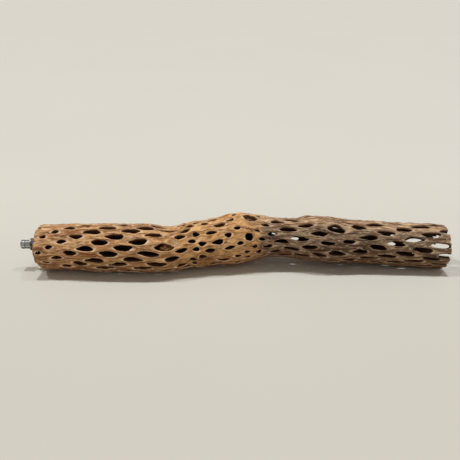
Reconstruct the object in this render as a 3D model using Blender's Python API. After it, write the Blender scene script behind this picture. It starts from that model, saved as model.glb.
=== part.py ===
"""Cholla cactus skeleton with a stud, washers and two nuts at one end, lying on a surface.

X runs along the log to its open end, Y runs away from the viewer, Z is up.
The log is a hollow net of wood. Its windows sit on a spiral lattice, one window to a cell,
and every cell is carried from the lattice on to the bent and swollen log by smooth rules.
"""

import math

import bmesh
import bpy
import numpy as np

# sizes in millimetres, turned to metres when a mesh is written
MM = 0.001
LOG_LENGTH = 402.0
FITTING_REACH = 20.0
LEFT_FACE_X = -0.5 * (LOG_LENGTH - FITTING_REACH)
AXIS_SHIFT_Y = -7.4

# the side of the log that faces the viewer looks up by this angle
VIEW_RISE = math.radians(27.5)

# the log's own shape: radius, axis offset away from the viewer and axis height
# by distance from the left face
SHAPE_AT = [0, 27, 50, 74, 94, 110, 128, 140, 148, 159, 174, 186, 199, 214]
SHAPE_AT += [230, 245, 259, 276, 291, 304, 324, 347, 370, 393, 402]
RADIUS = [21.9, 22.3, 23.1, 23.5, 23.5, 23.3, 22.0, 22.2, 22.3, 23.0, 23.3, 25.0]
RADIUS += [25.5, 22.3, 20.0, 19.1, 20.0, 22.4, 22.2, 21.7, 21.0, 21.2, 21.3, 21.4, 20.8]
AXIS_BACK = [3.0, 3.0, 1.0, 0.0, -0.9, -1.3, -1.3, 2.6, 5.0, 6.0, 10.5, 11.8]
AXIS_BACK += [14.0, 14.0, 13.0, 12.0, 10.5, 9.0, 8.0, 7.5, 7.0, 5.0, 4.0, 1.8, 1.3]
AXIS_LIFT = [1.5, 1.3, 0.5, 0.0, 0.0, 0.0, 0.0, 0.0, 0.9, 0.7, 0.8, 0.0]
AXIS_LIFT += [0.4, 4.6, 7.3, 8.2, 6.0, 4.7, 3.6, 3.0, 2.8, 1.6, 0.2, 0.0, 0.0]
WALL_AT = [0, 150, 230, 300, 402]
WALL = [7.0, 6.5, 4.6, 4.0, 4.0]
FLAT_DEPTH = 0.1
STRAND_RISE = 0.7
INNER_SHARE = 0.86

# the lattice: rows round the log and the step back of each row, in windows
ROWS = 26
ROW_STEP = 10
ROW_ANGLE = 360.0 / ROWS
FIRST_ROW_ANGLE = -13.0
LATTICE_AT = [-3, -2, -1.6, -1, 0, 1, 1.6, 2.4, 4.3, 5.4, 6.2, 7, 8, 9, 10, 12, 13]
LATTICE_S = [-27, -1, 6.5, 25.5, 64.5, 100.5, 124, 140, 165, 190, 208, 227.5, 274.5]
LATTICE_S += [323.5, 367, 451, 493]
LOW_ROWS_PULL = -14.0

# window length and width by distance from the left face
WINDOW_AT = [0, 25, 43, 60, 110, 127, 140, 152, 160, 170, 181, 190, 200, 215]
WINDOW_AT += [222, 232, 245, 270, 300, 310, 325, 402]
WINDOW_LONG = [5, 9.5, 13.5, 18, 18.5, 17, 12, 8, 6.5, 10.5, 12.5, 9, 6, 5]
WINDOW_LONG += [7.5, 11.5, 16, 15.5, 12, 12.5, 17.5, 18]
WINDOW_WIDE = [2.8, 4.8, 6.1, 6.5, 6.4, 5.9, 5.2, 4.8, 4.2, 4.8, 5.0, 4.4, 3.8, 3.4]
WINDOW_WIDE += [3.6, 4.6, 5.4, 5.6, 4.8, 5.0, 5.8, 5.8]
SMALL_FROM, SMALL_TO = 128.0, 226.0
SHUT_SHARE_BEHIND = 0.6
SMALLER_BEHIND = 0.55
SMALLER_BELOW = 0.75
SEED = 41

# windows out of the ordinary: row, place in the row, distance along, angle, length, width,
# and how far the strands round it are pushed apart
KNOTS = [
    (1, 2, 127.0, -5.3, 19.0, 7.6, 0.65),
    (0, 6, 206.5, 1.0, 8.4, 8.8, 0.6),
    (-3, 5, 207.9, -50.0, 14.5, 11.0, 1.6),
    (-1, 8, 291.6, -30.4, 15.5, 11.0, 1.7),
    (4, 10, 291.1, 34.0, 15.0, 8.0, 1.2),
    (0, 5, 187.1, -13.0, 6.5, 5.0, 0.5),
]
SCAR = (-3, 5)
# windows a little off the lattice: row, place in the row, shift along, shift round
NUDGES = [
    (1, 0, 1, 4), (3, 1, 0, 7), (-2, 0, 2, -6), (-1, 1, 0, -4), (-2, 1, 1, -12),
    (3, 3, 4, 0), (-1, 2, 0, 5), (2, 3, 4, -4), (2, 4, 2, -5), (2, 5, 4, 8),
    (4, 5, -3, -7), (3, 5, 3, 8), (0, 3, 2, 7), (1, 4, 5, -1), (-1, 3, 3, -2),
    (-1, 4, 0, 7), (1, 5, 2, -1), (-3, 4, 6, 7), (-1, 5, 4, 1), (4, 7, 6, 0),
    (3, 7, 5, 6), (5, 7, -1, -8), (-1, 6, 3, 1), (2, 7, 3, 2), (4, 8, 3, 3),
    (0, 7, -1, 5), (-3, 6, -1, 4), (-4, 6, -5, 0), (2, 9, -2, 6), (0, 8, 3, -2),
    (-2, 8, 3, 6), (0, 9, 2, 3), (3, 10, 5, 5), (3, 12, -4, 3), (1, 9, 1, 2),
    (5, 4, 8, -2), (5, 5, 7, -2),
]
# cells without a window, on the viewer's side and behind it
SOLID_CELLS = [
    (-3, 1), (1, 3), (0, 4), (0, 2), (3, 6), (4, 6), (3, 4), (4, 4), (-2, 3), (-2, 5), (5, 6), (6, 1),
    (-4, -3),
    (13, 5), (14, 6), (13, 6), (13, 7), (14, 10), (13, 11), (14, 14), (15, 14), (15, 15),
]
BUMP_AT, BUMP_ANGLE, BUMP_RISE, BUMP_SPREAD = 265.0, -90.0, 2.4, 5.0

# the fitting
STUD_RADIUS = 2.5
STUD_ROOT = 2.1
STUD_PITCH = 0.8
STUD_LIFT = 3.5
PLUG_LENGTH = 22.0
PLUG_RECESS = 0.8
PLUG_RADIUS = 14.4
WASHER_RADIUS = 6.2
WASHER_THICK = 1.2
CLEAR = 0.3
OUTER_WASHER_AT = 8.8
NUT_ACROSS = 8.0
NUT_LONG = 4.55
NUT_BORE = 3.0


def along(stations, values, place):
    """Smooth curve through the values at the stations, straight beyond both ends."""
    x = np.asarray(stations, float)
    y = np.asarray(values, float)
    slope = np.gradient(y, x)
    s = np.clip(place, x[0], x[-1])
    k = np.clip(np.searchsorted(x, s, side="right") - 1, 0, len(x) - 2)
    h = x[k + 1] - x[k]
    t = (s - x[k]) / h
    rise = y[k + 1] - y[k]
    a = slope[k] * h - rise
    b = rise - slope[k + 1] * h
    return y[k] + t * rise + t * (1 - t) * (a * (1 - t) + b * t)


def turned(angle):
    """An angle brought to between -180 and 180 degrees."""
    return (np.asarray(angle) + 180.0) % 360.0 - 180.0


def radius_at(s, angle):
    bump = ((s - BUMP_AT) / BUMP_SPREAD) ** 2
    bump = bump + (turned(angle - BUMP_ANGLE) / 16.0) ** 2
    return along(SHAPE_AT, RADIUS, s) + BUMP_RISE * np.exp(-bump)


def plain_place(row, place):
    """Distance along and angle of a lattice point before any knot pushes it."""
    s = np.interp(place - row * ROW_STEP / ROWS, LATTICE_AT, LATTICE_S)
    smooth = [
        np.interp(place - row * ROW_STEP / ROWS + d, LATTICE_AT, LATTICE_S)
        for d in (-0.3, 0.3)
    ]
    s = (s + smooth[0] + smooth[1]) / 3
    angle = row * ROW_ANGLE + FIRST_ROW_ANGLE
    right_half = np.clip((s - 195.0) / 50.0, 0, 1)
    low = np.exp(-((turned(angle - 82.0) / 36.0) ** 2))
    turn = np.radians(angle)
    waist = np.exp(-(((s - 250.0) / 30.0) ** 2))
    twist = 1.6 * (1 - np.cos(turn)) - 2.5 * np.sin(turn)
    s = s + twist * np.clip((s - 285.0) / 35.0, 0, 1)
    angle = angle + LOW_ROWS_PULL * right_half * low
    return s, angle - 6.5 * np.sin(turn) * waist


def lattice_place(row, place):
    """Distance along and angle of a lattice point, with the knots' pull and push and the nudges."""
    s, angle = plain_place(row, place)
    for knot_row, knot_place, knot_s, knot_angle, _, _, push in KNOTS:
        from_s, from_angle = plain_place(np.array(knot_row), np.array(knot_place))
        pull = ((s - from_s) / 15.0) ** 2 + (turned(angle - from_angle) / 24.0) ** 2
        pull = np.exp(-pull)
        s = s + (knot_s - from_s) * pull
        angle = angle + float(turned(knot_angle - from_angle)) * pull
        gap = turned(angle - knot_angle)
        spread = np.exp(-(((s - knot_s) / 11.0) ** 2) - (gap / 20.0) ** 2)
        angle = angle + gap * push * spread
    for near_row, near_place, shift, turn in NUDGES:
        from_s, from_angle = plain_place(np.array(near_row), np.array(near_place))
        near = ((s - from_s) / 9.0) ** 2 + (turned(angle - from_angle) / 12.0) ** 2
        s = s + shift * np.exp(-near)
        angle = angle + turn * np.exp(-near)
    return s, angle


def solid_place(s, angle, radius):
    """Point in space at a distance along, an angle from the viewer's side and a radius."""
    back = along(SHAPE_AT, AXIS_BACK, s) + AXIS_SHIFT_Y
    height = along(SHAPE_AT, AXIS_LIFT, s) + along(SHAPE_AT, RADIUS, s) - FLAT_DEPTH
    turn = np.radians(angle) - VIEW_RISE
    y = back - radius * np.cos(turn)
    z = height - radius * np.sin(turn)
    return np.stack([LEFT_FACE_X + s, y, z], axis=-1)


def new_object(name, verts, faces):
    mesh = bpy.data.meshes.new(name)
    mesh.from_pydata([[c * MM for c in v] for v in verts], [], faces)
    mesh.validate()
    work = bmesh.new()
    work.from_mesh(mesh)
    bmesh.ops.recalc_face_normals(work, faces=work.faces)
    if work.calc_volume(signed=True) < 0:
        bmesh.ops.reverse_faces(work, faces=work.faces)
    work.to_mesh(mesh)
    work.free()
    made = bpy.data.objects.new(name, mesh)
    bpy.context.scene.collection.objects.link(made)
    return made


def cut(target, tool, operation, solver="EXACT"):
    """Apply a Boolean and drop the tool."""
    change = target.modifiers.new("cut", "BOOLEAN")
    change.operation = operation
    change.solver = solver
    change.object = tool
    view = bpy.context.evaluated_depsgraph_get()
    result = bpy.data.meshes.new_from_object(target.evaluated_get(view))
    target.modifiers.clear()
    target.data = result
    bpy.data.objects.remove(tool)


def box(name, low, high):
    xs, ys, zs = zip(low, high)
    verts = [(x, y, z) for x in xs for y in ys for z in zs]
    faces = [(0, 1, 3, 2), (4, 6, 7, 5), (0, 4, 5, 1), (2, 3, 7, 6), (0, 2, 6, 4), (1, 5, 7, 3)]
    return new_object(name, verts, faces)


# a cell's six corners as steps from its window, in thirds of a row and of a window
CORNERS = [(2, 1), (1, -1), (-1, -2), (-2, -1), (-1, 1), (1, 2)]
# the window's six rim points: share of half length and of half width, from the lower left
RIM = [(-0.5, 0.82), (-1.0, 0.0), (-0.5, -0.82), (0.5, -0.82), (1.0, 0.0), (0.5, 0.82)]


def whole_key(row3, place3):
    """Name a lattice corner the same way however many turns round the log lead to it."""
    turns = row3 // (3 * ROWS)
    return row3 - 3 * ROWS * turns, place3 - 3 * ROW_STEP * turns


def same_cell(row, place, cells):
    """Whether a cell is one of those listed, counting whole turns round the log."""
    return any(whole_key(3 * r, 3 * p) == (3 * row, 3 * place) for r, p in cells)


def window_rim(row, place, corners):
    """Rim points of one window as distance along and angle, kept well inside its cell."""
    s, angle = lattice_place(np.array(float(row)), np.array(float(place)))
    draw = np.random.default_rng([SEED, row, place + 50]).random(4)
    behind = np.clip(-np.cos(np.radians(angle)), 0, 1) * np.clip((150.0 - s) / 30.0, 0, 1)
    long = np.interp(s, WINDOW_AT, WINDOW_LONG) * (0.9 + 0.2 * draw[0])
    wide = np.interp(s, WINDOW_AT, WINDOW_WIDE) * (0.85 + 0.3 * draw[1])
    below = math.exp(-((float(turned(angle - 118.0)) / 28.0) ** 2)) * np.clip((s - 230.0) / 20.0, 0, 1)
    long = long * (1 - SMALLER_BEHIND * behind) * (1 - SMALLER_BELOW * below)
    wide = wide * (1 - SMALLER_BEHIND * behind) * (1 - SMALLER_BELOW * below)
    lean = (draw[2] - 0.5) * (0.5 if SMALL_FROM < s < SMALL_TO else 0.14)
    for knot_row, knot_place, _, _, knot_long, knot_wide, _ in KNOTS:
        if same_cell(row, place, [(knot_row, knot_place)]):
            long, wide, lean = knot_long, knot_wide, 0.0
    arc = math.radians(1) * float(radius_at(s, angle))
    hexagon = np.stack([corners[:, 0] - s, (corners[:, 1] - angle) * arc], axis=1)
    nearer = hexagon.mean(axis=0) * 0.5
    points = []
    for a, b in RIM:
        x = 0.5 * long * a * math.cos(lean) - 0.5 * wide * b * math.sin(lean)
        y = 0.5 * long * a * math.sin(lean) + 0.5 * wide * b * math.cos(lean)
        points.append((x, y))
    points = np.array(points)
    edge = np.roll(hexagon, -1, axis=0) - hexagon
    normal = np.stack([edge[:, 1], -edge[:, 0]], axis=1)
    reach = (normal * (hexagon - nearer)).sum(axis=1)
    full = ((points @ normal.T) / reach).max(axis=1)
    points = points * np.minimum(1.0, 0.68 / np.maximum(full, 1e-6))[:, None] + nearer
    return s + points[:, 0], angle + points[:, 1] / arc, float(s)


def skeleton():
    """The net of wood: outer skin, window walls and inner skin of every cell, then the cuts."""
    verts, index, faces, sides = [], {}, [], {}

    def vertex(key, s, angle, radius):
        if key not in index:
            index[key] = len(verts)
            verts.append(solid_place(s, angle, radius).tolist())
        return index[key]

    first, last = -2.4, 11.6
    for row in range(ROWS):
        low = math.ceil(first + row * ROW_STEP / ROWS)
        high = math.floor(last + row * ROW_STEP / ROWS)
        for place in range(low, high + 1):
            steps = np.array(CORNERS, float) / 3
            s, angle = lattice_place(row + steps[:, 0], place + steps[:, 1])
            outer = radius_at(s, angle)
            thick = np.interp(s, WALL_AT, WALL)
            out, ins = [], []
            for n, (dr, dp) in enumerate(CORNERS):
                key = whole_key(3 * row + dr, 3 * place + dp)
                out.append(vertex(("out", key), s[n], angle[n], outer[n] + STRAND_RISE))
                ins.append(vertex(("in", key), s[n], angle[n], outer[n] - thick[n]))
            for n in range(6):
                a, b = out[n], out[(n + 1) % 6]
                c, d = ins[n], ins[(n + 1) % 6]
                if (b, a) in sides:
                    del sides[(b, a)]
                else:
                    sides[(a, b)] = (c, d)
            rim_s, rim_angle, mid_s = window_rim(row, place, np.stack([s, angle], axis=1))
            rim_out = radius_at(rim_s, rim_angle)
            rim_in = rim_out - np.interp(rim_s, WALL_AT, WALL)
            scar = same_cell(row, place, [SCAR])
            draw = np.random.default_rng([SEED + 1, row, place + 50]).random()
            behind = abs(float(turned(rim_angle.mean()))) > 80.0
            shut = behind and SMALL_FROM < mid_s < SMALL_TO and draw < SHUT_SHARE_BEHIND
            shut = shut or same_cell(row, place, SOLID_CELLS)
            if scar:
                lips, floor = [], []
                for n in range(6):
                    key = (row, place, n)
                    lips.append(vertex(("lip", key), rim_s[n], rim_angle[n], rim_out[n] + 1.4))
                    near_s = 0.7 * rim_s[n] + 0.3 * mid_s
                    near_angle = 0.7 * rim_angle[n] + 0.3 * rim_angle.mean()
                    floor.append(vertex(("floor", key), near_s, near_angle, rim_out[n] - 2.2))
                ring(faces, out, lips)
                for n in range(6):
                    m = (n + 1) % 6
                    faces.append((lips[n], lips[m], floor[m], floor[n]))
                middle = vertex(("mid", row, place), mid_s, rim_angle.mean(), rim_out.mean() - 1)
                under = vertex(("low", row, place), mid_s, rim_angle.mean(), rim_in.mean())
                fan(faces, floor, middle)
                fan(faces, ins, under, turn=True)
            elif shut:
                middle = vertex(
                    ("mid", row, place), mid_s, rim_angle.mean(), rim_out.mean() - 0.7
                )
                under = vertex(("low", row, place), mid_s, rim_angle.mean(), rim_in.mean())
                fan(faces, out, middle)
                fan(faces, ins, under, turn=True)
            else:
                lips, deep = [], []
                for n in range(6):
                    key = (row, place, n)
                    lips.append(vertex(("lip", key), rim_s[n], rim_angle[n], rim_out[n] - 0.3))
                    near_s = INNER_SHARE * rim_s[n] + (1 - INNER_SHARE) * mid_s
                    near_angle = INNER_SHARE * rim_angle[n]
                    near_angle += (1 - INNER_SHARE) * rim_angle.mean()
                    deep.append(vertex(("deep", key), near_s, near_angle, rim_in[n]))
                ring(faces, out, lips)
                for n in range(6):
                    m = (n + 1) % 6
                    faces.append((lips[n], lips[m], deep[m], deep[n]))
                ring(faces, ins, deep, turn=True)
    for (a, b), (c, d) in sides.items():
        faces.append((b, a, c, d))
    wood = new_object("cholla_skeleton", verts, faces)
    low = (LEFT_FACE_X, -60.0, 0.0)
    high = (LEFT_FACE_X + LOG_LENGTH, 60.0, 80.0)
    cut(wood, box("saw", low, high), "INTERSECT")
    return wood


def ring(faces, corners, rim, turn=False):
    """Triangles between a cell's six corners and its window's six rim points."""
    for n in range(6):
        m = (n + 1) % 6
        pair = [(corners[n], corners[m], rim[n]), (corners[m], rim[m], rim[n])]
        faces.extend(p[::-1] if turn else p for p in pair)


def fan(faces, corners, middle, turn=False):
    """Triangles from a cell's six corners to its middle."""
    for n in range(6):
        face = (corners[n], corners[(n + 1) % 6], middle)
        faces.append(face[::-1] if turn else face)


def lathe(name, profile, centre, sides):
    """A ring turned about a line along X: profile points are (distance along, radius)."""
    verts, faces = [], []
    count = len(profile)
    for k in range(sides):
        turn = 2 * math.pi * (k + 0.5) / sides
        for x, r in profile:
            verts.append((x, centre[0] + r * math.sin(turn), centre[1] + r * math.cos(turn)))
    for k in range(sides):
        for n in range(count):
            a = k * count + n
            b = k * count + (n + 1) % count
            c = (k + 1) % sides * count + n
            d = (k + 1) % sides * count + (n + 1) % count
            faces.append((a, b, d, c))
    return new_object(name, verts, faces)


def rod(name, profile, centre, sides):
    """A solid turned about a line along X, closed by a flat face at each end."""
    verts, faces = [], []
    for x, r in profile:
        for k in range(sides):
            turn = 2 * math.pi * (k + 0.5) / sides
            verts.append((x, centre[0] + r * math.sin(turn), centre[1] + r * math.cos(turn)))
    for n in range(len(profile) - 1):
        for k in range(sides):
            a = n * sides + k
            b = n * sides + (k + 1) % sides
            faces.append((a, b, b + sides, a + sides))
    faces.append(tuple(range(sides)))
    faces.append(tuple(range(len(verts) - sides, len(verts))))
    return new_object(name, verts, faces)


def stud_axis():
    s = 0.0
    back = float(along(SHAPE_AT, AXIS_BACK, s)) + AXIS_SHIFT_Y
    height = float(along(SHAPE_AT, AXIS_LIFT, s) + along(SHAPE_AT, RADIUS, s)) - FLAT_DEPTH
    return back, height


def plug(axis):
    """Plug in the bore, with an off-centre hole for the stud."""
    start = LEFT_FACE_X + PLUG_RECESS
    end = start + PLUG_LENGTH
    body = rod("end_plug", [(start, PLUG_RADIUS), (end, PLUG_RADIUS - 0.4)], axis, 40)
    hole_axis = (axis[0], axis[1] + STUD_LIFT)
    hole = rod("hole", [(start - 5, STUD_RADIUS + CLEAR), (end - 3, STUD_RADIUS + CLEAR)], hole_axis, 24)
    cut(body, hole, "DIFFERENCE")
    return body


def stud(axis):
    """Threaded stud: a groove at every pitch along the part outside the plug."""
    tip = LEFT_FACE_X - FITTING_REACH
    inside = LEFT_FACE_X + PLUG_RECESS + PLUG_LENGTH - 3 - CLEAR
    profile = [(tip, 1.7), (tip + 0.5, STUD_ROOT)]
    turns = int((FITTING_REACH - 0.9) / STUD_PITCH)
    for n in range(turns):
        start = tip + 0.5 + n * STUD_PITCH
        profile.append((start + 0.5 * STUD_PITCH, STUD_RADIUS))
        profile.append((start + STUD_PITCH, STUD_ROOT))
    profile.append((LEFT_FACE_X - 0.2, STUD_RADIUS))
    profile.append((inside, STUD_RADIUS))
    return rod("stud", profile, axis, 12)


def washer(name, start, axis):
    hole = STUD_RADIUS + CLEAR
    end = start + WASHER_THICK
    edge = 0.15
    profile = [
        (start, hole),
        (start, WASHER_RADIUS - edge),
        (start + edge, WASHER_RADIUS),
        (end - edge, WASHER_RADIUS),
        (end, WASHER_RADIUS - edge),
        (end, hole),
    ]
    return lathe(name, profile, axis, 24)


def hex_nut(name, start, axis):
    """Six-sided nut with a flat on top: a prism cut back by a cone at each face, then bored."""
    corner = 0.5 * NUT_ACROSS / math.cos(math.radians(30))
    end = start + NUT_LONG
    verts = []
    for x in (start, end):
        for k in range(6):
            turn = math.radians(60 * k + 30)
            verts.append((x, axis[0] + corner * math.sin(turn), axis[1] + corner * math.cos(turn)))
    faces = [tuple(range(6)), tuple(range(6, 12))]
    for k in range(6):
        m = (k + 1) % 6
        faces.append((k, m, m + 6, k + 6))
    nut = new_object(name, verts, faces)
    profile = [(start, 3.8), (start + 0.5, corner + 0.05), (end - 0.5, corner + 0.05), (end, 3.8)]
    cut(nut, rod("cone", profile, axis, 24), "INTERSECT")
    bore = [(start - 1, NUT_BORE), (end + 1, NUT_BORE)]
    cut(nut, rod("bore", bore, axis, 32), "DIFFERENCE")
    return nut


def colour(target, name, rgb, metallic, roughness):
    material = bpy.data.materials.new(name)
    material.use_nodes = True
    shader = material.node_tree.nodes["Principled BSDF"]
    shader.inputs["Base Color"].default_value = (*rgb, 1.0)
    shader.inputs["Metallic"].default_value = metallic
    shader.inputs["Roughness"].default_value = roughness
    target.data.materials.clear()
    target.data.materials.append(material)


for old in list(bpy.data.objects):
    bpy.data.objects.remove(old)

log_axis = stud_axis()
fitting_axis = (log_axis[0], log_axis[1] + STUD_LIFT)
colour(skeleton(), "weathered_wood", (0.42, 0.24, 0.12), 0.0, 0.7)
colour(plug(log_axis), "plug_wood", (0.30, 0.17, 0.08), 0.0, 0.75)
colour(stud(fitting_axis), "zinc_thread", (0.45, 0.45, 0.46), 1.0, 0.35)
inner = washer("inner_washer", LEFT_FACE_X - CLEAR - WASHER_THICK, fitting_axis)
colour(inner, "zinc_inner", (0.50, 0.50, 0.51), 1.0, 0.32)
outer_start = LEFT_FACE_X - OUTER_WASHER_AT - WASHER_THICK
outer = washer("outer_washer", outer_start, fitting_axis)
colour(outer, "zinc_outer", (0.50, 0.50, 0.51), 1.0, 0.32)
clamp_start = outer_start - CLEAR - NUT_LONG
clamp_nut = hex_nut("clamp_nut", clamp_start, fitting_axis)
colour(clamp_nut, "zinc_clamp_nut", (0.40, 0.40, 0.41), 1.0, 0.38)
lock_nut = hex_nut("lock_nut", clamp_start - CLEAR - NUT_LONG, fitting_axis)
colour(lock_nut, "zinc_lock_nut", (0.40, 0.40, 0.41), 1.0, 0.38)
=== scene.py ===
"""Cholla cactus skeleton with its stud, washers and nuts, lying on a pale floor.

Every shape is worked out in millimetres as whole arrays and written to its mesh in metres.
"""

import math
from contextlib import contextmanager
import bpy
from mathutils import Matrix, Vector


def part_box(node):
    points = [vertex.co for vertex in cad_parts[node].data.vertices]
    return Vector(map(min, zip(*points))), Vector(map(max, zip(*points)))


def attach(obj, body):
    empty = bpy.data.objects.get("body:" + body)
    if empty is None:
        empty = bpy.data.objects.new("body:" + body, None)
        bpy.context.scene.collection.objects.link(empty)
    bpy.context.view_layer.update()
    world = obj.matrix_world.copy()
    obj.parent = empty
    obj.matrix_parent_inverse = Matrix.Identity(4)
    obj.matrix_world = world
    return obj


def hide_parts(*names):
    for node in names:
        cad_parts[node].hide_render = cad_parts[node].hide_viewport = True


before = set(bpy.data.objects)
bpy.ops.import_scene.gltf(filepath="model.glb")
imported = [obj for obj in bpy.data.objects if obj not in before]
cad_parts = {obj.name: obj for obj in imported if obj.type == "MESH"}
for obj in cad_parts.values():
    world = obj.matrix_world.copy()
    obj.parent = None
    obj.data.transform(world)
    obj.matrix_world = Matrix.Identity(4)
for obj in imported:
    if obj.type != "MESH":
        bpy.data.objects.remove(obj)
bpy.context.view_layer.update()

import bmesh
import bpy
import numpy as np
from mathutils import Matrix, Vector

MM = 0.001

# the log: its axis, its sawn faces and the flats that it lies on
LOG_LENGTH = 402.0
LEFT_FACE_X = -191.0
LEFT_CUT_SLANT = 0.06
AXIS_SHIFT_Y = -7.4
FLAT_DEPTH = 0.1
# an angle of 0 round the log faces the viewer, this far above level
VIEW_RISE = math.radians(27.5)
# radius of the log, and how far its axis lies back and up, at distances from the left face
SHAPE_AT = [0, 27, 50, 74, 94, 110, 128, 140, 148, 159, 174, 186, 199, 214]
SHAPE_AT += [230, 245, 259, 276, 291, 304, 324, 347, 370, 393, 402]
RADIUS = [21.9, 22.3, 23.1, 23.5, 23.5, 23.3, 22.0, 22.2, 22.3, 23.0, 23.3, 25.0]
RADIUS += [25.5, 22.3, 20.0, 19.1, 20.0, 22.4, 22.2, 21.7, 21.0, 21.2, 21.3, 21.4, 20.8]
AXIS_BACK = [3.0, 3.0, 1.0, 0.0, -0.9, -1.3, -1.3, 2.6, 5.0, 6.0, 10.5, 11.8]
AXIS_BACK += [14.0, 14.0, 13.0, 12.0, 10.5, 9.0, 8.0, 7.5, 7.0, 5.0, 4.0, 1.8, 1.3]
AXIS_LIFT = [1.5, 1.3, 0.5, 0.0, 0.0, 0.0, 0.0, 0.0, 0.9, 0.7, 0.8, 0.0]
AXIS_LIFT += [0.4, 4.6, 7.3, 8.2, 6.0, 4.7, 3.6, 3.0, 2.8, 1.6, 0.2, 0.0, 0.0]
# thickness of the wall at distances from the left face
WALL_AT = [0, 150, 230, 300, 402]
WALL = [7.0, 6.5, 4.6, 4.0, 4.0]

# the spiral lattice: rows round the log, places along it, and the distances of the places
ROWS = 26
ROW_STEP = 10
ROW_ANGLE = 360.0 / ROWS
FIRST_ROW_ANGLE = -13.0
LATTICE_AT = [-3, -2, -1.6, -1, 0, 1, 1.6, 2.4, 4.3, 5.4, 6.2, 7, 8, 9, 10, 12, 13]
LATTICE_S = [-27, -1, 6.5, 25.5, 64.5, 100.5, 124, 140, 165, 190, 208, 227.5, 274.5]
LATTICE_S += [323.5, 367, 451, 493]
PLACE_EASE = (-0.3, 0.0, 0.3)
# cells are made between these places along the log
FIRST_PLACE, PAST_PLACE, CELLS_FROM, CELLS_TO = -4, 24, -2.7, 11.7
# in the right half the low rows are pulled round the log
LOW_ROWS_PULL, LOW_ROWS_ANGLE, LOW_ROWS_SPREAD = -14.0, 82.0, 36.0
PULL_FROM, PULL_OVER = 195.0, 50.0
# near the open end the places twist along the log, and at the waist the rows draw together
TWIST_BEHIND, TWIST_BELOW, TWIST_FROM, TWIST_OVER = 1.6, -2.5, 285.0, 35.0
WAIST_AT, WAIST_REACH, WAIST_PULL = 250.0, 30.0, 6.5

# length and width of the windows at distances from the left face
WINDOW_AT = [0, 25, 43, 60, 110, 127, 140, 152, 160, 170, 181, 190, 200, 215]
WINDOW_AT += [222, 232, 245, 270, 300, 310, 325, 402]
WINDOW_LONG = [5, 9.5, 13.5, 18, 18.5, 17, 12, 8, 6.5, 10.5, 12.5, 9, 6, 5]
WINDOW_LONG += [7.5, 11.5, 16, 15.5, 12, 12.5, 17.5, 18]
WINDOW_WIDE = [2.8, 4.8, 6.1, 6.5, 6.4, 5.9, 5.2, 4.8, 4.2, 4.8, 5.0, 4.4, 3.8, 3.4]
WINDOW_WIDE += [3.6, 4.6, 5.4, 5.6, 4.8, 5.0, 5.8, 5.8]
# least factor and range of the random differences in length and width, and range of the lean
LONG_LEAST, LONG_RANGE = 0.9, 0.2
WIDE_LEAST, WIDE_RANGE = 0.85, 0.3
LEAN_RANGE, SMALL_LEAN_RANGE = 0.14, 0.5
# the swelling has small crooked windows, and most of those behind are shut
SMALL_FROM, SMALL_TO = 128.0, 226.0
BEHIND_ANGLE = 80.0
SHUT_SHARE_BEHIND = 0.6
# windows are smaller behind the left part and below the right part
SMALLER_BEHIND, BEHIND_TO, BEHIND_OVER = 0.55, 150.0, 30.0
SMALLER_BELOW, BELOW_FROM, BELOW_OVER = 0.75, 230.0, 20.0
BELOW_ANGLE, BELOW_SPREAD = 118.0, 28.0
# one window behind is narrower, which leaves the daylight that the photo shows
NARROW_BEHIND, NARROW_LONG, NARROW_WIDE = (14, 13), 0.66, 0.75
# a window's rim stays within this share of the way to its cell's edge
RIM_LIMIT = 0.85
SCAR_RIM_LIMIT = 0.97
# waves of a window's outline: share of its radius and count round it
OUTLINE_WAVES = ((0.14, 2), (0.15, 3))
PHASE_RANGE = 6.28
LENS_POWER = 0.3

SEED = 41
# knots: row and place, true distance and angle, window length and width, push on cells round it
KNOTS = [
    (1, 2, 127.0, -5.3, 19.0, 7.6, 0.65),
    (0, 6, 206.5, 1.0, 8.4, 8.8, 0.6),
    (-3, 5, 207.9, -50.0, 14.5, 11.0, 1.6),
    (-1, 8, 291.6, -30.4, 15.5, 11.0, 1.7),
    (4, 10, 291.1, 34.0, 15.0, 8.0, 1.2),
    (0, 5, 187.1, -13.0, 6.5, 5.0, 0.5),
]
SCAR = (-3, 5)
# reach of a knot's pull, a knot's push and a nudge, in mm along and degrees round
PULL_REACH = (15.0, 24.0)
PUSH_REACH = (11.0, 20.0)
NUDGE_REACH = (9.0, 12.0)
# knots with wider windows than this have a raised ring, between two shares of the way to the rim
RINGED_FROM = 7.5
RING_FROM, RING_TO, RING_LIFT = 0.3, 0.97, 0.7
RING_PALE_FROM, RING_PALE = 0.6, 0.15
# windows a little off the lattice: row, place in the row, shift along, shift round
NUDGES = [
    (1, 0, 1, 4), (3, 1, 0, 7), (-2, 0, 2, -6), (-1, 1, 0, -4), (-2, 1, 1, -12),
    (3, 3, 4, 0), (-1, 2, 0, 5), (2, 3, 4, -4), (2, 4, 2, -5), (2, 5, 4, 8),
    (4, 5, -3, -7), (3, 5, 3, 8), (0, 3, 2, 7), (1, 4, 5, -1), (-1, 3, 3, -2),
    (-1, 4, 0, 7), (1, 5, 2, -1), (-3, 4, 6, 7), (-1, 5, 4, 1), (4, 7, 6, 0),
    (3, 7, 5, 6), (5, 7, -1, -8), (-1, 6, 3, 1), (2, 7, 3, 2), (4, 8, 3, 3),
    (0, 7, -1, 5), (-3, 6, -1, 4), (-4, 6, -5, 0), (2, 9, -2, 6), (0, 8, 3, -2),
    (-2, 8, 3, 6), (0, 9, 2, 3), (3, 10, 5, 5), (3, 12, -4, 3), (1, 9, 1, 2),
    (5, 4, 8, -2), (5, 5, 7, -2),
]
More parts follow.
